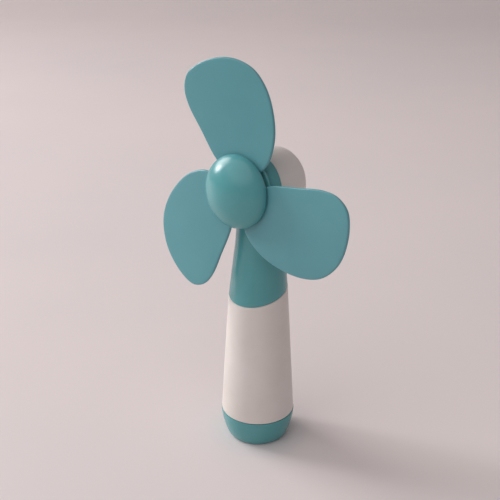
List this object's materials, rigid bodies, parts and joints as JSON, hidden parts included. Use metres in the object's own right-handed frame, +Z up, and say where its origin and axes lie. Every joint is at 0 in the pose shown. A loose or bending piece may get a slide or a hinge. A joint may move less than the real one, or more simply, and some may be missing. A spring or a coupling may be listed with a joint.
{
  "type": "handheld electric fan",
  "caption": "Small battery fan with soft teal blades, a domed hub, a white tapered handle, a rear slide switch and a teal screw cap for a foot.",
  "frame": {"origin": "middle of the flat foot, where the fan stands", "axes": "+Z up along the handle, -Y the way the fan blows, +X to the right of somebody who looks along +Y at its front"},
  "size_m": [0.1121, 0.0453, 0.1986],
  "materials": {
    "teal_shell": "smooth moulded, satin gloss",
    "teal_blade": "soft moulded, satin",
    "white_shell": "smooth moulded, satin gloss",
    "white_plastic": "moulded, matte",
    "black_plastic": "moulded, matte",
    "brown_board": "pressed laminate, matte",
    "nickel_steel": "nickel plated, satin",
    "motor_steel": "zinc plated, satin",
    "core_steel": "stacked laminations",
    "ferrite": "sintered, matte",
    "bronze": "sintered, satin",
    "spring_brass": "sheet, satin",
    "copper_wire": "enamelled winding wire",
    "cell_jacket": "shrink sleeve, gloss, blank",
    "red_wire": "insulation, matte",
    "yellow_wire": "insulation, matte",
    "black_wire": "insulation, matte"
  },
  "bodies": {
    "body": {"motor_housing": "teal_shell", "rear_cover": "white_shell", "cover_screw_1": "nickel_steel", "cover_screw_2": "nickel_steel", "motor_can": "motor_steel", "motor_end_bell": "white_plastic", "motor_magnet_1": "ferrite", "motor_magnet_2": "ferrite", "motor_brush_1": "spring_brass", "motor_brush_2": "spring_brass", "front_bearing": "bronze", "rear_bearing": "bronze", "handle_tube": "white_shell", "battery_cell_1": "cell_jacket", "battery_cell_2": "cell_jacket", "upper_contact_carrier": "black_plastic", "positive_contact": "nickel_steel", "negative_contact": "nickel_steel", "upper_spring": "nickel_steel", "switch_frame": "nickel_steel", "switch_base": "brown_board", "switch_terminal_1": "spring_brass", "switch_terminal_2": "spring_brass", "switch_terminal_3": "spring_brass", "supply_wire": "red_wire", "switched_wire": "yellow_wire", "return_wire": "black_wire"},
    "rotor": {"nose_cap": "teal_shell", "hub_core": "teal_shell", "blade_1": "teal_blade", "blade_2": "teal_blade", "blade_3": "teal_blade", "motor_shaft": "motor_steel", "armature_core": "core_steel", "armature_winding_1": "copper_wire", "armature_winding_2": "copper_wire", "armature_winding_3": "copper_wire", "commutator": "copper_wire"},
    "switch": {"thumb_slider": "white_shell", "switch_lever": "black_plastic"},
    "carrier": {"lower_contact_carrier": "black_plastic", "bridge_contact": "nickel_steel", "lower_spring": "nickel_steel"},
    "cap": {"foot_cap": "teal_shell"}
  },
  "joints": [
    {"name": "rotor_spin", "type": "hinge", "parent": "body", "child": "rotor", "pos_m": [0, 0, 0.1377], "axis": [0, -0.9973, 0.0741], "continuous": true},
    {"name": "switch_slide", "type": "slide", "parent": "body", "child": "switch", "axis": [0, 0, 1], "range_m": [0, 0.0032]},
    {"name": "cap_travel", "type": "slide", "parent": "body", "child": "carrier", "axis": [0, 0, -1], "range_m": [0, 0.00375]},
    {"name": "cap_twist", "type": "hinge", "parent": "carrier", "child": "cap", "pos_m": [0, 0, 0], "axis": [0, 0, -1], "range_deg": [0, 450]}
  ],
  "couplings": [
    {"joint": "cap_travel", "follows": "cap_twist", "m_per_rad": 0.00047746}
  ]
}
